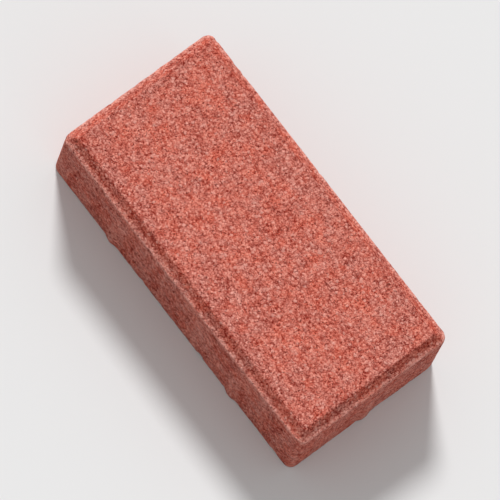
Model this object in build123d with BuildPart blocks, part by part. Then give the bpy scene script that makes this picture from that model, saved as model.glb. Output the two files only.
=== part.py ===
"""Rectangular concrete paving stone with a bevelled top, cast in one piece.

Units are millimetres and +Z is up. The origin is the centre of the underside,
with the long side along X.
"""

import os

from build123d import *

# The block
length = 200.0  # long side, measured between the walls
width = 96.0  # short side, measured between the walls
height = 60.0  # underside to walking face
corner_radius = 5.0  # upright corners of the walls

# The bevelled top edge: a steep slope down from the walking face, then a flatter shoulder
slope_run = 3.4  # level distance across the slope
slope_rise = 4.1
shoulder_width = 2.3  # level distance across the shoulder
shoulder_rise = 1.3
face_corner_radius = 1.2  # corners of the walking face, seen from above
brow_radius = 1.4  # where the walking face turns into the slope
foot_radius = 0.5  # hollow where the slope meets the shoulder
arris_radius = 1.1  # where the shoulder turns into the wall

# The spacer ribs, which hold the next stone off by the width of a joint
joint_width = 2.2  # between two stones whose ribs touch
rib_width = 9.0  # where a rib leaves the wall
rib_straight_height = 36.0  # from the underside up to where a rib starts to fade
rib_fade_height = 6.0  # its upper end slopes back into the wall
rib_spacing = 100.0  # between the two ribs of a long wall

# Sizes that follow
foot_level = height - slope_rise
arris_level = foot_level - shoulder_rise
foot_length = length - 2 * shoulder_width
foot_width = width - 2 * shoulder_width
foot_corner_radius = corner_radius - shoulder_width
face_length = foot_length - 2 * slope_run
face_width = foot_width - 2 * slope_run
rib_depth = joint_width / 2
rib_radius = (rib_depth**2 + (rib_width / 2) ** 2) / (2 * rib_depth)
rib_tip_height = 2 * rib_fade_height  # the slope of the end runs on inside the wall,
rib_tip_radius = rib_radius - 2 * rib_depth  # as far again as outside it
rib_axis_x = length / 2 + rib_depth - rib_radius
rib_axis_y = width / 2 + rib_depth - rib_radius
rib_places = [(-rib_axis_x, 0), (rib_axis_x, 0)] + [
    (side_x * rib_spacing / 2, side_y * rib_axis_y) for side_x in (-1, 1) for side_y in (-1, 1)
]

with BuildPart() as paving_stone:
    # Walls, from the underside up to the arris
    with BuildSketch():
        RectangleRounded(length, width, corner_radius)
    extrude(amount=arris_level)

    # Shoulder, from the arris in to the foot of the slope
    with BuildSketch(Plane.XY.offset(arris_level)):
        RectangleRounded(length, width, corner_radius)
    with BuildSketch(Plane.XY.offset(foot_level)):
        RectangleRounded(foot_length, foot_width, foot_corner_radius)
    loft(ruled=True)

    # Slope, from its foot up to the walking face
    with BuildSketch(Plane.XY.offset(foot_level)):
        RectangleRounded(foot_length, foot_width, foot_corner_radius)
    with BuildSketch(Plane.XY.offset(height)):
        RectangleRounded(face_length, face_width, face_corner_radius)
    loft(ruled=True)

    # The three lines that run round the bevel, each rounded by its own radius
    for level, radius in ((height, brow_radius), (foot_level, foot_radius), (arris_level, arris_radius)):
        fillet(paving_stone.edges().filter_by_position(Axis.Z, level, level), radius)

    # Spacer ribs: round bars sunk in the walls, with only their fronts standing proud
    with Locations(*rib_places):
        Cylinder(rib_radius, rib_straight_height, align=(Align.CENTER, Align.CENTER, Align.MIN))
    with Locations(*[(x, y, rib_straight_height) for x, y in rib_places]):
        Cone(rib_radius, rib_tip_radius, rib_tip_height, align=(Align.CENTER, Align.CENTER, Align.MIN))

paving_stone.part.label = "paving_stone"

os.makedirs("parts", exist_ok=True)
export_step(paving_stone.part, "parts/paving_stone.step")
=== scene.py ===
import math
from typing import NamedTuple

import bpy
from mathutils import Matrix, Vector, noise


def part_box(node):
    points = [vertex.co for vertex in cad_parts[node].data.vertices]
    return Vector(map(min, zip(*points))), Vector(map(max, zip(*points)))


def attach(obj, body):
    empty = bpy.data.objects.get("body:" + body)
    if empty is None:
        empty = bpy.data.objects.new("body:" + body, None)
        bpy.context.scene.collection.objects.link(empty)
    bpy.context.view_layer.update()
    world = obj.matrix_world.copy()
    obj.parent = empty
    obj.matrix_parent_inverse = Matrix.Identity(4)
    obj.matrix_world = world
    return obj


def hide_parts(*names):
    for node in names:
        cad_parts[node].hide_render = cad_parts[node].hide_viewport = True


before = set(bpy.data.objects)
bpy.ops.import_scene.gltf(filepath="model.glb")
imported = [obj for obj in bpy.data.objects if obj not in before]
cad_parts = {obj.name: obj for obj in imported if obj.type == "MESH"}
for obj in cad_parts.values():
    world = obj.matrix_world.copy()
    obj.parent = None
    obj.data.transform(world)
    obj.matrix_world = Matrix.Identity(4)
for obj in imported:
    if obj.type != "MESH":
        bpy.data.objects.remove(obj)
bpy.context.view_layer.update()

# Sizes are in millimetres, and MM turns them into metres where a mesh or the camera is made
MM = 0.001

# The spacer ribs: round bars sunk in the walls
RIB_DEPTH = 1.1  # how proud of the wall a rib stands
RIB_WIDTH = 9.0
RIB_RADIUS = (RIB_DEPTH**2 + (RIB_WIDTH / 2) ** 2) / (2 * RIB_DEPTH)
RIB_STRAIGHT = 36.0  # height up to which a rib stays that proud
RIB_FADE = 6.0  # height over which it then slopes back into the wall
RIB_SPACING = 100.0  # between the two ribs of a long wall

# The block, whose walls lie as far inside the CAD model's box as its ribs are proud
lowest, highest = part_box("paving_stone")
LENGTH = round((highest.x - lowest.x) / MM - 2 * RIB_DEPTH, 1)
WIDTH = round((highest.y - lowest.y) / MM - 2 * RIB_DEPTH, 1)
HEIGHT = round((highest.z - lowest.z) / MM, 1)
CORNER = 5.0  # radius of the upright corners

# The bevelled edge: a steep slope down from the walking face, then a flatter shoulder
SHOULDER_WIDTH = 2.3
SHOULDER_RISE = 1.3
SLOPE_RUN = 3.4
SLOPE_RISE = 4.1
FACE_CORNER = 1.2  # radius of the walking face's corners
BROW_RADIUS = 1.4  # where the walking face turns into the slope
FOOT_RADIUS = 0.5  # where the slope meets the shoulder
ARRIS_RADIUS = 1.1  # where the shoulder turns into the wall
BASE_RADIUS = 0.4  # where the wall turns into the underside

# Levels and insets that follow
FOOT_LEVEL = HEIGHT - SLOPE_RISE
ARRIS_LEVEL = FOOT_LEVEL - SHOULDER_RISE
BROW_INSET = SHOULDER_WIDTH + SLOPE_RUN


# The camera

VIEW_BEARING = math.radians(-61.97)  # level direction from the stone to the camera, from +X
VIEW_ELEVATION = math.radians(74.7)
VIEW_ROLL = math.radians(25.0)
VIEW_DISTANCE = 6000.0
VIEW_CENTRE = Vector((0.0, 0.0, HEIGHT / 2))
VIEW_ZOOM = 2.1  # how much larger the stone shows than in the photograph
PHOTO_FIELD = 534.8  # width of the photograph at the stone
SENSOR = 36.0


def add_camera():
    """The photograph's viewing angle, with the stone in the middle of the picture."""
    back = Vector(
        (
            math.cos(VIEW_ELEVATION) * math.cos(VIEW_BEARING),
            math.cos(VIEW_ELEVATION) * math.sin(VIEW_BEARING),
            math.sin(VIEW_ELEVATION),
        )
    )
    level_right = Vector((0, 0, 1)).cross(back).normalized()
    level_up = back.cross(level_right)
    right = level_right * math.cos(VIEW_ROLL) + level_up * math.sin(VIEW_ROLL)
    up = back.cross(right)
    data = bpy.data.cameras.new("camera")
    data.sensor_width = SENSOR
    data.lens = SENSOR * VIEW_DISTANCE / PHOTO_FIELD * VIEW_ZOOM
    data.clip_end = 2 * VIEW_DISTANCE * MM
    camera = bpy.data.objects.new("camera", data)
    turn = Matrix((right, up, back)).transposed().to_4x4()
    camera.matrix_world = Matrix.Translation((VIEW_CENTRE + back * VIEW_DISTANCE) * MM) @ turn
    bpy.context.collection.objects.link(camera)
    bpy.context.scene.camera = camera


# Node trees


class Shader:
    """The node tree of a material or a world, built up from an empty one."""

    def __init__(self, owner):
        owner.use_nodes = True
        self.tree = owner.node_tree
        self.tree.nodes.clear()

    def node(self, kind, inputs=None, **settings):
        """A node whose inputs are set to values or linked to the outputs of other nodes."""
        node = self.tree.nodes.new("ShaderNode" + kind)
        for name, value in settings.items():
            setattr(node, name, value)
        for key, value in (inputs or {}).items():
            if isinstance(value, bpy.types.NodeSocket):
                self.tree.links.new(value, node.inputs[key])
            else:
                node.inputs[key].default_value = value
        return node

    def calculate(self, operation, *values):
        """The result of a sum on numbers or outputs."""
        return self.node("Math", dict(enumerate(values)), operation=operation).outputs[0]

    def vector(self, operation, inputs):
        """The result of a sum on vectors."""
        return self.node("VectorMath", inputs, operation=operation).outputs[0]

    def added(self, total, parts):
        """A total with each of the parts' values added to it by its weight."""
        for value, weight in parts:
            total = self.calculate("MULTIPLY_ADD", value, weight, total)
        return total

    def mixed(self, parts):
        """Values of about 0.5, drawn together by their weights into one of about 0.5."""
        centred = [(self.calculate("SUBTRACT", value, 0.5), weight) for value, weight in parts]
        return self.added(0.5, centred)

    def between(self, value, low, high, bottom=0.0, top=1.0):
        """From bottom at low to top at high, and level outside them."""
        inputs = {"Value": value, "From Min": low, "From Max": high, "To Min": bottom, "To Max": top}
        return self.node("MapRange", inputs).outputs[0]

    def ramp(self, amount, stops):
        """A colour that runs through the stops, which are pairs of a place from 0 to 1 and a colour."""
        node = self.node("ValToRGB", {"Fac": amount})
        elements = node.color_ramp.elements
        while len(elements) < len(stops):
            elements.new(1.0)
        for element, (place, colour) in zip(elements, stops):
            element.position = place
            element.color = colour
        return node.outputs["Color"]

    def blend(self, amount, first, second):
        """Two colours mixed by an amount."""
        node = self.node("Mix", data_type="RGBA")
        first_input, second_input, result = node.inputs[6], node.inputs[7], node.outputs[2]
        for socket, value in ((node.inputs[0], amount), (first_input, first), (second_input, second)):
            if isinstance(value, bpy.types.NodeSocket):
                self.tree.links.new(value, socket)
            else:
                socket.default_value = value
        return result


def screen_colour(red, green, blue):
    """A screen colour of 0 to 255 as the light that it stands for, with full alpha."""

    def light(step):
        share = step / 255
        return share / 12.92 if share <= 0.04045 else ((share + 0.055) / 1.055) ** 2.4

    return (light(red), light(green), light(blue), 1.0)


# Light and floor

FLOOR_LIGHT = 0.80  # how pale the floor and the background look
FLOOR_BOUNCE = 0.46  # share of light that the floor throws back on the stone
FLOOR_SIZE = 60000.0

# How much of a level surface's light comes from all round and from each lamp, about one in all
SKY_LIGHT = 0.46
KEY_LIGHT = 0.56
KEY_FROM = Vector((-0.583, 0.400, 0.707))
KEY_SOFTNESS = math.radians(12)
FILL_LIGHT = 0.012
FILL_FROM = Vector((0.966, 0.0, 0.259))
FILL_SOFTNESS = math.radians(40)


def add_lamp(name, level_light, towards, softness):
    """A soft lamp far off, as strong as its share of a level surface's light needs."""
    data = bpy.data.lights.new(name, "SUN")
    direction = towards.normalized()
    data.energy = level_light * math.pi / direction.z
    data.angle = softness
    lamp = bpy.data.objects.new(name, data)
    lamp.rotation_euler = direction.to_track_quat("Z", "Y").to_euler()
    bpy.context.collection.objects.link(lamp)


def add_surround():
    """An even surround, which looks as pale as the floor."""
    world = bpy.data.worlds.new("surround")
    bpy.context.scene.world = world
    shader = Shader(world)
    path = shader.node("LightPath").outputs
    seen = shader.calculate("MAXIMUM", path["Is Camera Ray"], path["Is Glossy Ray"])
    seen = shader.calculate("MAXIMUM", seen, path["Is Transmission Ray"])
    around = shader.node("Background", {"Color": (1, 1, 1, 1), "Strength": SKY_LIGHT})
    behind = shader.node("Background", {"Color": (1, 1, 1, 1), "Strength": FLOOR_LIGHT})
    both = shader.node("MixShader", {0: seen, 1: around.outputs[0], 2: behind.outputs[0]})
    shader.node("OutputWorld", {"Surface": both.outputs[0]})


def add_floor():
    """A plain pale floor."""
    half = FLOOR_SIZE / 2 * MM
    corners = [(-half, -half, 0), (half, -half, 0), (half, half, 0), (-half, half, 0)]
    mesh = bpy.data.meshes.new("floor")
    mesh.from_pydata(corners, [], [(0, 1, 2, 3)])
    floor = bpy.data.objects.new("floor", mesh)
    bpy.context.collection.objects.link(floor)
    material = bpy.data.materials.new("floor")
    shader = Shader(material)
    seen = shader.node("LightPath").outputs["Is Camera Ray"]
    share = shader.between(seen, 0.0, 1.0, bottom=FLOOR_BOUNCE, top=FLOOR_LIGHT)
    grey = shader.node("CombineColor", {"Red": share, "Green": share, "Blue": share}).outputs[0]
    surface = shader.node("BsdfDiffuse", {"Color": grey})
    shader.node("OutputMaterial", {"Surface": surface.outputs[0]})
    mesh.materials.append(material)


# The section of the edge

ARC_STEPS = 12


def rounded(corners, radii):
    """A run of points through the corners, with the inner corners rounded."""
    points = [Vector(corners[0])]
    for before, corner, after, radius in zip(corners, corners[1:], corners[2:], radii):
        corner = Vector(corner)
        back = (Vector(before) - corner).normalized()
        on = (Vector(after) - corner).normalized()
        half_angle = back.angle(on) / 2
        centre = corner + (back + on).normalized() * radius / math.sin(half_angle)
        start = corner + back * radius / math.tan(half_angle)
        end = corner + on * radius / math.tan(half_angle)
        turn = (start - centre).angle_signed(end - centre)
        for step in range(ARC_STEPS + 1):
            arm = start - centre
            arm.rotate(Matrix.Rotation(-turn * step / ARC_STEPS, 2))
            points.append(centre + arm)
    points.append(Vector(corners[-1]))
    return points


class Ring(NamedTuple):
    """One line round a sheet's border."""

    inset: float  # from the walls
    level: float
    reach: float  # distance from the first ring, over the surface


def rings_along(points, count):
    """Rings at even steps along a section, count steps in all."""
    travelled = [0.0]
    for first, second in zip(points, points[1:]):
        travelled.append(travelled[-1] + (second - first).length)
    rings = []
    place = 0
    for step in range(count + 1):
        target = travelled[-1] * step / count
        while place < len(points) - 2 and travelled[place + 1] < target:
            place += 1
        run = travelled[place + 1] - travelled[place]
        share = (target - travelled[place]) / run
        rings.append(Ring(*points[place].lerp(points[place + 1], share), target))
    return rings


# The mesh: a top sheet turned down over the edge, a base sheet turned up, and walls between them

BORDER = 7.0  # how far in from the walls a sheet's border goes
BORDER_ROWS = 18
FACE_COLUMNS = 288
FACE_ROWS = 126
WALL_ROWS = 60
WALL_TOP = ARRIS_LEVEL - 1.2
WALL_BOTTOM = 0.8
MAP_GAP = 2.0  # between the parts of the unrolled surface


def top_corner(inset):
    """Corner radius of the top sheet's ring at an inset from the walls."""
    if inset <= SHOULDER_WIDTH:
        return CORNER - inset
    foot = CORNER - SHOULDER_WIDTH
    if inset <= BROW_INSET:
        return foot + (FACE_CORNER - foot) * (inset - SHOULDER_WIDTH) / SLOPE_RUN
    return FACE_CORNER * (BORDER - inset) / (BORDER - BROW_INSET)


def base_corner(inset):
    """Corner radius of the base sheet's ring at an inset from the walls."""
    return CORNER * (1 - inset / BORDER)


class Sheet:
    """A grid of points whose border follows rings, with the places that they have when it lies flat."""

    def __init__(self, columns, rows, rings, corner):
        self.columns = columns
        self.rows = rows
        self.rings = rings
        self.corner = corner  # gives the corner radius at an inset
        self.field = (LENGTH / 2 - BORDER, WIDTH / 2 - BORDER)  # half its size inside the border
        self.half = [side + rings[-1].reach for side in self.field]  # half its size on the flat
        self.points = []
        self.flat = []
        for j in range(rows + 1):
            for i in range(columns + 1):
                point, place = self.grid_point(i, j)
                self.points.append(point)
                self.flat.append(place)

    def grid_point(self, i, j):
        """Where a point of the grid is on the stone, and where on the flat."""
        last = len(self.rings) - 1
        steps = (min(i, self.columns - i), min(j, self.rows - j))  # in from the nearest sides
        signs = (1 if 2 * i > self.columns else -1, 1 if 2 * j > self.rows else -1)
        ring = self.rings[min(*steps, last)]
        inner = [
            half * (2 * (index - last) / (count - 2 * last) - 1)
            for index, count, half in zip((i, j), (self.columns, self.rows), self.field)
        ]
        if min(steps) >= last:
            return (*inner, ring.level), tuple(inner)
        width = BORDER - ring.inset
        flat_width = self.rings[-1].reach - ring.reach
        if max(steps) >= last:
            axis = 0 if steps[0] < steps[1] else 1
            place = list(inner)
            place[axis] = signs[axis] * (self.field[axis] + width)
            flat_place = list(inner)
            flat_place[axis] = signs[axis] * (self.field[axis] + flat_width)
            return (*place, ring.level), tuple(flat_place)
        along, across = self.corner_place(min(steps), max(steps))
        offset = (across, along) if steps[0] < steps[1] else (along, across)
        parts = list(zip(signs, self.field, offset))
        place = [sign * (half + part) for sign, half, part in parts]
        flat_place = [sign * (half + part * (flat_width / width)) for sign, half, part in parts]
        return (*place, ring.level), tuple(flat_place)

    def corner_place(self, near, far):
        """How far a corner point of the border is from the field's corner, along and across its ring.

        Near and far are its steps in from the nearer and from the farther side.
        """
        ring = self.rings[near]
        radius = self.corner(ring.inset)
        straight = BORDER - ring.inset - radius
        share = (len(self.rings) - 1 - far) / (len(self.rings) - 1 - near)
        along = share * (straight + math.pi / 4 * radius)
        if along < straight:
            return along, BORDER - ring.inset
        turned = (along - straight) / radius
        return straight + radius * math.sin(turned), straight + radius * math.cos(turned)

    def rim(self):
        """The indices of its outermost points, once round from a corner, seen from above."""
        line = self.columns + 1
        return (
            list(range(self.columns))
            + [self.columns + j * line for j in range(self.rows)]
            + [self.rows * line + i for i in range(self.columns, 0, -1)]
            + [j * line for j in range(self.rows, 0, -1)]
        )


def rib_push(x, y, z):
    """How far a rib pushes out a point of the wall, along x and along y."""
    radius = RIB_RADIUS - max(0.0, z - RIB_STRAIGHT) * RIB_DEPTH / RIB_FADE
    end_gap = LENGTH / 2 - abs(x)
    side_gap = WIDTH / 2 - abs(y)
    if side_gap < end_gap:
        across, gap, axis = abs(x) - RIB_SPACING / 2, side_gap, 1
    else:
        across, gap, axis = y, end_gap, 0
    if abs(across) >= radius or gap >= BORDER:
        return 0.0, 0.0
    proud = math.sqrt(radius**2 - across**2) - (RIB_RADIUS - RIB_DEPTH)
    push = max(0.0, proud) * (1 - gap / BORDER) * math.copysign(1, (x, y)[axis])
    return (push, 0.0) if axis == 0 else (0.0, push)


class Block:
    """The stone's points and faces, and where the corners of each face lie on the unrolled surface."""

    def __init__(self):
        self.points = []
        self.faces = []
        self.map = []

    def add_points(self, points):
        """Adds points, pushed out where a rib is. Gives the index of the first."""
        first = len(self.points)
        for x, y, z in points:
            push_x, push_y = rib_push(x, y, z)
            self.points.append(Vector((x + push_x, y + push_y, z)))
        return first

    def add_face(self, corners, places):
        self.faces.append(corners)
        self.map.extend(places)

    def add_sheet(self, sheet, middle, facing_up):
        """Adds a sheet, with its middle at a place on the map. Gives the indices of its rim."""
        first = self.add_points(sheet.points)
        line = sheet.columns + 1
        for j in range(sheet.rows):
            for i in range(sheet.columns):
                cell = [j * line + i, j * line + i + 1, (j + 1) * line + i + 1, (j + 1) * line + i]
                if not facing_up:
                    cell.reverse()
                flat_corners = [sheet.flat[index] for index in cell]
                places = [(middle[0] + across, middle[1] + up) for across, up in flat_corners]
                self.add_face([first + index for index in cell], places)
        return [first + index for index in sheet.rim()]

    def add_walls(self, top_rim, loops, starts, origins):
        """Adds the walls between loops of points, from the top down.

        The top's rim has twice the points of a loop. Starts are the indices in a loop at which the
        walls begin, with the loop's length as the last. Origins are the walls' lower left corners on
        the map.
        """
        count = starts[-1]
        ring = [self.points[index].xy for index in loops[-1]]
        travelled = [0.0]
        for here, there in zip(ring, ring[1:] + ring[:1]):
            travelled.append(travelled[-1] + (there - here).length)
        for start, end, (origin_x, origin_y) in zip(starts, starts[1:], origins):
            heights = [
                origin_y + (WALL_TOP - WALL_BOTTOM) * (1 - row / WALL_ROWS)
                for row in range(WALL_ROWS + 1)
            ]
            for column in range(start, end):
                after = (column + 1) % count
                left = origin_x + travelled[column] - travelled[start]
                right = origin_x + travelled[column + 1] - travelled[start]
                for row in range(WALL_ROWS):
                    upper, lower = loops[row], loops[row + 1]
                    top, bottom = heights[row], heights[row + 1]
                    corners = [lower[column], lower[after], upper[after], upper[column]]
                    places = [(left, bottom), (right, bottom), (right, top), (left, top)]
                    if row == 0:
                        corners.insert(3, top_rim[2 * column + 1])
                        places.insert(3, ((left + right) / 2, top))
                    self.add_face(corners, places)


def build_block():
    """The whole stone as one closed mesh."""
    columns = FACE_COLUMNS + 2 * BORDER_ROWS
    rows = FACE_ROWS + 2 * BORDER_ROWS
    top_section = rounded(
        [
            (0.0, WALL_TOP),
            (0.0, ARRIS_LEVEL),
            (SHOULDER_WIDTH, FOOT_LEVEL),
            (BROW_INSET, HEIGHT),
            (BORDER, HEIGHT),
        ],
        [ARRIS_RADIUS, FOOT_RADIUS, BROW_RADIUS],
    )
    base_section = rounded([(0.0, WALL_BOTTOM), (0.0, 0.0), (BORDER, 0.0)], [BASE_RADIUS])
    top = Sheet(columns, rows, rings_along(top_section, BORDER_ROWS), top_corner)
    base = Sheet(columns // 2, rows // 2, rings_along(base_section, BORDER_ROWS // 2), base_corner)

    # On the map the top, the base and the long walls lie in a column, with the short walls beside it
    block = Block()
    base_middle = 2 * top.half[1] + MAP_GAP + base.half[1]
    top_rim = block.add_sheet(top, top.half, True)
    base_rim = block.add_sheet(base, (base.half[0], base_middle), False)

    loops = [top_rim[::2]]
    for row in range(1, WALL_ROWS):
        level = WALL_TOP + (WALL_BOTTOM - WALL_TOP) * row / WALL_ROWS
        first = block.add_points([(*top.points[index][:2], level) for index in top.rim()[::2]])
        loops.append(range(first, first + len(base_rim)))
    loops.append(base_rim)

    starts = [0]
    for side in (base.columns, base.rows, base.columns, base.rows):
        starts.append(starts[-1] + side)
    next_wall = WALL_TOP - WALL_BOTTOM + MAP_GAP
    above = base_middle + base.half[1] + MAP_GAP
    right = 2 * max(top.half[0], base.half[0]) + MAP_GAP
    origins = [(0.0, above), (right, 0.0), (0.0, above + next_wall), (right, next_wall)]
    block.add_walls(top_rim, loops, starts, origins)
    return block


# The relief of the concrete

# Blender draws the offsets of its noise vectors anew each run, unless it is given a seed
NOISE_SEED = 1
noise.seed_set(NOISE_SEED)

WALL_LEAN = 0.25  # a surface whose normal rises or falls by less than this is all wall
LEVEL_LEAN = 0.85  # and one whose normal does so by more than this is all top or base

SEAM_STEEPNESS = 1.6  # of the sides of the seams between the grains
PIT_STRAY = 0.9  # how far a pit's outline strays from a circle, in radii
PIT_STRAY_SIZE = 1.6  # how long its strays are, in radii
PIT_SMALLEST = 0.6  # of the radius that is asked for, how much the smallest pit has
PIT_SPREAD = 0.8  # and how much more the largest has
PIT_DRAW_SCALE = 17.3  # any scale and offset do that make the draws of neighbouring pits differ
PIT_DRAW_OFFSET = Vector((5.1, 9.7, 2.3))

# How deep the parts of the relief go in the walking face, the walls and the base
SEAM_DEPTH = 0.22
PIT_DEPTH = 0.4
FACE_ROUGHNESS = 0.10
FACE_WAVES = 0.08
STREAK_DEPTH = 0.20
DRAG_DEPTH = 0.16
WALL_ROUGHNESS = 0.22
VOID_DEPTH = 1.3
BASE_ROUGHNESS = 0.30
BASE_VOID_DEPTH = 0.8

# How hollow the shallow parts count, where the bottom of a pit is 1. The material paints hollows darker
# by this, as painted shade
SEAM_HOLLOW = 0.25
STREAK_HOLLOW = 0.12
WALL_ROUGH_HOLLOW = 0.18
BASE_ROUGH_HOLLOW = 0.15

RIM_REACH = 9.0  # how far in from the brow the dust along the face's rim thins out
RIM_DUST_LEAST = 0.7  # where that dust is thinnest along the rim
RIM_DUST_SPREAD = 0.6  # how much more there is where it is thickest
# Painted shade on the slope: a dust below none, which makes it redder than the face
SLOPE_SHADE_DUST = -0.35  # less than the middle of the face has
SHOULDER_DUST = 0.6

# How much paler than the face the parts of its edge are. At the brow it turns into the slope
RIM_TONE = -0.015
BROW_TONE = -0.08
BROW_REACH = 1.4
# the slope's darker tone is painted shade
SLOPE_SHADE_TONE = -0.065
SHOULDER_TONE = 0.045

CHIP_SIZE = 7.0  # of the noise that spreads the chips
CHIP_OFFSET = Vector((2.0, 8.0, 5.0))
CHIP_NOISE = (0.25, 0.6)  # its values at which a chip begins, and at which it is whole
WEAR_BETWEEN_CHIPS = 0.35  # how deep an edge is worn elsewhere, where a chip is 1
RUBBING_LEAST = 0.5  # of the rubbing where it is least ragged
FAINT_WEAR = 0.01  # nearness to an edge below which its wear is left out


class Wear(NamedTuple):
    """How an edge of the stone is worn."""

    reach: float  # how far from the edge
    chips: float  # how deep its chips go
    rubbing: float


BROW_WEAR = Wear(reach=1.3, chips=0.06, rubbing=0.0)
ARRIS_WEAR = Wear(reach=1.5, chips=0.14, rubbing=1.0)
BASE_WEAR = Wear(reach=2.0, chips=0.55, rubbing=0.6)
CORNER_WEAR = Wear(reach=2.0, chips=0.12, rubbing=0.4)


class Finish(NamedTuple):
    """How the concrete is at a point of the smooth block."""

    depth: float  # of the surface below the block
    # the material darkens a point by how hollow it is: painted shade
    hollow: float  # how far down a pit or a seam it lies
    # dust, and on the slope painted shade as a dust below none, which reddens it
    dust_and_shade: float
    pale: float  # how much paler it is than the face
    rubbed: float
    wall: float  # how much it belongs to a wall


# The numbers that are kept on the mesh for the material
KEPT_NUMBERS = ("hollow", "dust_and_shade", "pale", "rubbed", "wall")


def smooth(value, low, high):
    """From 0 at low to 1 at high, with an easy start and end."""
    share = min(1.0, max(0.0, (value - low) / (high - low)))
    return share * share * (3 - 2 * share)


def bell(gap, reach):
    """1 at no gap, falling off over the reach."""
    return math.exp(-((gap / reach) ** 2))


def inset_of(x, y):
    """How far a point is inside the outline of the walls, seen from above."""
    reach_x = abs(x) - (LENGTH / 2 - CORNER)
    reach_y = abs(y) - (WIDTH / 2 - CORNER)
    if reach_x > 0 and reach_y > 0:
        return CORNER - math.hypot(reach_x, reach_y)
    return CORNER - max(reach_x, reach_y)


def corner_gap(point):
    """How far a point is from the middle of the nearest upright corner, seen from above."""
    reach = CORNER * (1 - math.sqrt(0.5))
    return math.hypot(abs(point.x) - LENGTH / 2 + reach, abs(point.y) - WIDTH / 2 + reach)


def seams(point, size):
    """1 in the seams between packed grains and 0 on their middles."""
    near, far = noise.voronoi(point / size)[0][:2]
    return 1 - min(1.0, SEAM_STEEPNESS * (far - near))


def pits(point, spacing, share, radius):
    """Depth of scattered pits, from 0 to 1. Of the cells, a spacing wide, a share holds one."""
    stray = noise.noise_vector(point / (PIT_STRAY_SIZE * radius))
    shaken = point + PIT_STRAY * radius * stray
    distances, centres = noise.voronoi(shaken / spacing)[:2]
    draw = 0.5 + 0.5 * noise.noise(centres[0] * PIT_DRAW_SCALE + PIT_DRAW_OFFSET)
    if draw > share:
        return 0.0
    wide = radius * (PIT_SMALLEST + PIT_SPREAD * draw / share)
    return max(0.0, 1 - (distances[0] * spacing / wide) ** 2)


def mottle(point, size, seed, stretch=1):
    """Soft cloudy numbers from 0 to 1, drawn out upwards by the stretch."""
    drawn = Vector((point.x, point.y, point.z / stretch))
    return 0.5 + 0.5 * noise.noise(drawn / size + Vector((seed, 1.7 * seed, 2.3 * seed)))


def face_relief(point):
    """Seams between the grains, small pits and low waves. Gives how deep it is, and how hollow."""
    seam = seams(point, size=1.35)
    rough = mottle(point, size=0.9, seed=0.0)
    wave = mottle(point, size=34.0, seed=3.0)
    pit = pits(point, spacing=5.0, share=0.33, radius=0.75)
    depth = SEAM_DEPTH * seam + FACE_ROUGHNESS * rough + FACE_WAVES * wave + PIT_DEPTH * pit
    return depth, max(SEAM_HOLLOW * seam, pit)


def wall_relief(point):
    """Drag marks, roughness, and voids of two sizes. Gives how deep it is, and how hollow."""
    streak = mottle(point, size=1.5, seed=4.0, stretch=14)
    drag = mottle(point, size=5.0, seed=2.0, stretch=9)
    rough = mottle(point, size=2.2, seed=9.0)
    small = pits(point, spacing=4.6, share=0.45, radius=1.3)
    large = pits(point, spacing=11.0, share=0.4, radius=2.0)
    void = max(small, large)
    depth = STREAK_DEPTH * streak + DRAG_DEPTH * drag + WALL_ROUGHNESS * rough + VOID_DEPTH * void
    return depth, max(STREAK_HOLLOW * streak + WALL_ROUGH_HOLLOW * (1 - rough), void)


def base_relief(point):
    """Roughness and voids. Gives how deep it is, and how hollow."""
    void = pits(point, spacing=4.6, share=0.5, radius=1.5)
    rough = mottle(point, size=3.4, seed=6.0)
    depth = BASE_ROUGHNESS * rough + BASE_VOID_DEPTH * void
    return depth, max(BASE_ROUGH_HOLLOW * rough, void)


def edge_tint(point, inset, brow_gap):
    """How dusty and pale the top is: dusty on the shoulder and the face's rim, and on the slope darker
    and redder, which is painted shade.
    """
    if point.z <= WALL_TOP:
        return 0.0, 0.0
    if inset > BROW_INSET:
        rim = math.exp((BROW_INSET - inset) / RIM_REACH)
        dust_and_shade = rim * (RIM_DUST_LEAST + RIM_DUST_SPREAD * mottle(point, size=9.0, seed=5.0))
        pale = RIM_TONE * dust_and_shade
    elif inset > SHOULDER_WIDTH:
        # the slope: painted shade, darker and redder than the face
        dust_and_shade, pale = SLOPE_SHADE_DUST, SLOPE_SHADE_TONE
    else:
        dust_and_shade, pale = SHOULDER_DUST, SHOULDER_TONE
    return dust_and_shade, pale + BROW_TONE * bell(brow_gap, BROW_REACH)


def raggedness(point):
    """How ragged the wear is at a point, from 0 to 1."""
    return mottle(point, size=2.3, seed=7.0)


def edge_wear(point, inset, brow_gap):
    """How deep the stone's edges are chipped at a point, and how much they are rubbed."""
    ragged = raggedness(point)
    chip = smooth(noise.noise(point / CHIP_SIZE + CHIP_OFFSET), *CHIP_NOISE)
    depth = 0.0
    rubbed = 0.0
    for gap, wear in (
        (brow_gap, BROW_WEAR),
        (math.hypot(inset, point.z - ARRIS_LEVEL), ARRIS_WEAR),
        (math.hypot(inset, point.z), BASE_WEAR),
        (corner_gap(point), CORNER_WEAR),
    ):
        near = bell(gap, wear.reach)
        if near > FAINT_WEAR:
            depth += near * wear.chips * (WEAR_BETWEEN_CHIPS * ragged + chip)
            rubbed = max(rubbed, near * wear.rubbing * (RUBBING_LEAST + ragged))
    return depth, rubbed


def rib_wear(point):
    """How much the crown of a rib is rubbed at a point."""
    push = math.hypot(*rib_push(point.x, point.y, point.z))
    return push / RIB_DEPTH * raggedness(point)


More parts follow.
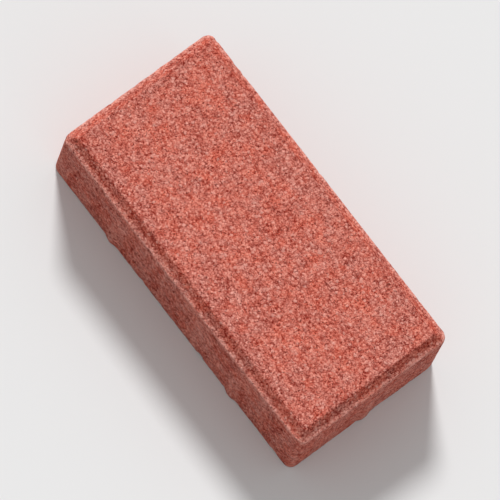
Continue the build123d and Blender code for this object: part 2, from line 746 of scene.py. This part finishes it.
def finish_at(point, normal):
    """The finish at a point of the smooth block."""
    up = smooth(normal.z, WALL_LEAN, LEVEL_LEAN)
    down = smooth(-normal.z, WALL_LEAN, LEVEL_LEAN)
    side = 1 - up - down
    depth = 0.0
    hollow = 0.0
    for share, relief in ((up, face_relief), (side, wall_relief), (down, base_relief)):
        if share > 0:
            relief_depth, relief_hollow = relief(point)
            depth += share * relief_depth
            hollow += share * relief_hollow
    inset = inset_of(point.x, point.y)
    brow_gap = math.hypot(inset - BROW_INSET, point.z - HEIGHT)
    dust_and_shade, pale = edge_tint(point, inset, brow_gap)
    chipped, rubbed = edge_wear(point, inset, brow_gap)
    rubbed = max(rubbed, side * rib_wear(point))
    return Finish(depth + chipped, min(1.0, hollow), dust_and_shade, pale, rubbed, side)


def add_stone():
    """The paving stone, in place of the smooth CAD solid."""
    block = build_block()
    mesh = bpy.data.meshes.new("stone_block")
    mesh.from_pydata([point * MM for point in block.points], [], block.faces)
    normals = [Vector(normal.vector) for normal in mesh.vertex_normals]
    finishes = [finish_at(point, normal) for point, normal in zip(block.points, normals)]
    for vertex, point, normal, finish in zip(mesh.vertices, block.points, normals, finishes):
        vertex.co = (point - normal * finish.depth) * MM
    for name in KEPT_NUMBERS:
        attribute = mesh.attributes.new(name, "FLOAT", "POINT")
        attribute.data.foreach_set("value", [getattr(finish, name) for finish in finishes])
    map_size = max(max(place) for place in block.map)
    layer = mesh.uv_layers.new(name="OFBake")
    for loop, (across, up) in zip(layer.data, block.map):
        loop.uv = (across / map_size, up / map_size)
    mesh.polygons.foreach_set("use_smooth", [True] * len(mesh.polygons))
    mesh.update()
    stone = bpy.data.objects.new("stone_block", mesh)
    bpy.context.collection.objects.link(stone)
    mesh.materials.append(concrete())
    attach(stone, "root")
    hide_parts("paving_stone")


# The concrete

GRAIN_SIZE = 1.25
FINE_GRAIN_SIZE = 0.57
RED_GRAIN_SIZE = 2.2  # of the lumps that share a hue
STRAY = 0.9  # how strongly the grains' outlines stray from straight lines
STRAY_SIZE = 0.7  # how long their strays are
STREAK_STRETCH = 7  # how much longer than wide the walls' streaks are
BUMP_DEPTH = 0.43
ROUGHNESS = (0.82, 0.98)  # of the smoothest and of the roughest grain
SPECULAR = 0.15

PORE_SPACING = 2.6
PORE_RADIUS = 0.10  # of the widest pinhole on the face, in spacings
WALL_PORE_GROWTH = 0.08  # how much wider than that they are on the walls
PORE_RIM = (-0.20, -0.06)  # inwards from its radius, where a pinhole's shade starts and is full
PORE_DRAW = 1.10  # what a cell has to draw to hold a pinhole on the face
WALL_PORE_DRAW = -0.22  # what is added to that on the walls
PORE_PATCHES = -0.30  # and what is added to it by clouds
# how dark a pinhole's painted shade is
PORE_SHADE = 0.8

# Draws over which a grain turns into a speck or into a pale one, and how strongly it then shows
SPECK_DRAWS = (0.93, 0.96)
SPECK_STRENGTH = 0.75
PALE_DRAWS = (0.95, 0.97)
PALE_STRENGTH = 0.6

# Painted shade in hollows: a share of how hollow a point is, and in pits more, over this run of
# hollowness
HOLLOW_SHADE = 0.56
PIT_HOLLOW = (0.3, 0.9)
PIT_SHADE = 0.85

# Screen colours of the grain, dark to light, where the stone is dusty and where it is rich
DUSTY = (
    (0.0, screen_colour(142, 40, 28)),
    (0.5, screen_colour(216, 128, 113)),
    (1.0, screen_colour(255, 181, 166)),
)
RICH = (
    (0.0, screen_colour(153, 27, 9)),
    (0.5, screen_colour(228, 112, 91)),
    (1.0, screen_colour(255, 165, 144)),
)
# The colour of the dark specks, and of the painted shade in seams, pits and pinholes
SPECK_AND_SHADE = screen_colour(108, 23, 14)
PALE_GRAIN = screen_colour(252, 180, 165)


def concrete():
    """Fine sandy concrete, coloured through: packed grains, some of them dark specks or pale. Seams,
    pits and pinholes get painted shade.
    """
    material = bpy.data.materials.new("red_concrete")
    shader = Shader(material)
    place = shader.vector("SCALE", {0: shader.node("TexCoord").outputs["Object"], "Scale": 1 / MM})

    # Places stray a little, so that no grain has straight sides
    stray = shader.node("TexNoise", {"Vector": place, "Scale": 1 / STRAY_SIZE, "Detail": 1.0})
    stray = shader.vector("SUBTRACT", {0: stray.outputs["Color"], 1: (0.5, 0.5, 0.5)})
    stray = shader.vector("SCALE", {0: stray, "Scale": STRAY})
    grain_place = shader.vector("ADD", {0: place, 1: stray})

    def cells(size):
        """Distance from a grain's middle, in grain sizes, and two numbers that each grain draws."""
        node = shader.node("TexVoronoi", {"Vector": grain_place, "Scale": 1 / size})
        draws = shader.node("SeparateColor", {"Color": node.outputs["Color"]}).outputs
        return node.outputs["Distance"], draws[0], draws[1]

    def cloud(size, detail=2.0, at=place):
        """Soft cloudy numbers of about 0.5."""
        return shader.node("TexNoise", {"Vector": at, "Scale": 1 / size, "Detail": detail}).outputs[0]

    hollow, dust_and_shade, pale, rubbed, wall = (
        shader.node("Attribute", attribute_name=name).outputs["Fac"] for name in KEPT_NUMBERS
    )

    # The walls were drawn up out of a mould, which left upright streaks in them
    drawn = shader.vector("MULTIPLY", {0: place, 1: (1.0, 1.0, 1 / STREAK_STRETCH)})
    streak = shader.calculate("SUBTRACT", cloud(1.6, at=drawn), 0.5)
    streak = shader.calculate("MULTIPLY", streak, wall)
    broad_streak = shader.calculate("SUBTRACT", cloud(9.0, detail=3.0, at=drawn), 0.5)
    broad_streak = shader.calculate("MULTIPLY", broad_streak, wall)

    # Pinholes, few of them wide, and wider and more of them on the walls. Their dark is painted shade,
    # and the bump sinks them
    pore_gap, pore_draw, pore_kind = cells(PORE_SPACING)
    widest = shader.calculate("MULTIPLY_ADD", wall, WALL_PORE_GROWTH, PORE_RADIUS)
    reach = shader.calculate("MULTIPLY", shader.calculate("POWER", pore_draw, 3.0), widest)
    pore = shader.between(shader.added(reach, [(pore_gap, -1.0)]), *PORE_RIM, top=PORE_SHADE)
    needed = shader.calculate("MULTIPLY_ADD", wall, WALL_PORE_DRAW, PORE_DRAW)
    needed = shader.added(needed, [(cloud(14.0), PORE_PATCHES)])
    pore = shader.calculate("MULTIPLY", pore, shader.calculate("GREATER_THAN", pore_kind, needed))

    # How light the stone is, on the scale of the ramps
    gap, grain, kind = cells(GRAIN_SIZE)
    fine_gap, fine_grain, fine_kind = cells(FINE_GRAIN_SIZE)
    tone = shader.mixed(
        [
            (grain, 0.45),
            (fine_grain, 0.45),
            (gap, -0.40),
            (cloud(1.0), 0.85),
            (cloud(3.0), 0.42),
            (cloud(9.0), 0.20),
            (cloud(32.0), 0.18),
        ]
    )
    tone = shader.added(tone, [(streak, 0.45), (broad_streak, 0.5), (rubbed, 0.26), (pale, 1.0)])

    # How rich its red is
    _, red_grain, _ = cells(RED_GRAIN_SIZE)
    redness = shader.mixed(
        [
            (red_grain, 0.10),
            (cloud(1.8), 0.15),
            (cloud(6.0), 2.2),
            (cloud(16.0), 1.3),
        ]
    )
    # Dust makes it less red. The slope's painted shade, a dust below none, makes it redder
    redness = shader.added(redness, [(broad_streak, -0.6), (dust_and_shade, -0.34), (rubbed, -0.15)])

    # Its colour, with dark specks among the fine grains, pale grains, and painted shade in seams, pits
    # and pinholes
    rich = shader.between(redness, 0.0, 1.0)
    colour = shader.blend(rich, shader.ramp(tone, DUSTY), shader.ramp(tone, RICH))
    speck = shader.between(fine_kind, *SPECK_DRAWS, top=SPECK_STRENGTH)
    colour = shader.blend(speck, colour, SPECK_AND_SHADE)
    pale_grain = shader.between(kind, *PALE_DRAWS, top=PALE_STRENGTH)
    colour = shader.blend(pale_grain, colour, PALE_GRAIN)
    # Painted shade: darker in seams, pits and pinholes
    shade = shader.calculate("MULTIPLY", hollow, HOLLOW_SHADE)
    shade = shader.calculate("MAXIMUM", shade, shader.between(hollow, *PIT_HOLLOW, top=PIT_SHADE))
    shade = shader.calculate("MAXIMUM", shade, pore)
    colour = shader.blend(shade, colour, SPECK_AND_SHADE)

    # The relief of the finest grain
    dome = shader.calculate("POWER", gap, 2.0)
    fine_dome = shader.calculate("POWER", fine_gap, 2.0)
    height = shader.mixed(
        [
            (grain, 0.35),
            (dome, -1.0),
            (fine_dome, -0.6),
            (cloud(0.35, detail=1.0), 0.4),
        ]
    )
    height = shader.added(height, [(streak, 0.8), (pore, -1.2)])
    bump = shader.node("Bump", {"Height": height, "Distance": BUMP_DEPTH * MM, "Strength": 1.0})
    surface = shader.node(
        "BsdfPrincipled",
        {
            "Base Color": colour,
            "Roughness": shader.between(fine_grain, 0.0, 1.0, *ROUGHNESS),
            "Specular IOR Level": SPECULAR,
            "Normal": bump.outputs[0],
        },
    )
    shader.node("OutputMaterial", {"Surface": surface.outputs[0]})
    return material


add_camera()
add_lamp("key", KEY_LIGHT, KEY_FROM, KEY_SOFTNESS)
add_lamp("fill", FILL_LIGHT, FILL_FROM, FILL_SOFTNESS)
add_surround()
add_floor()
add_stone()

bpy.context.scene.view_settings.view_transform = "Standard"
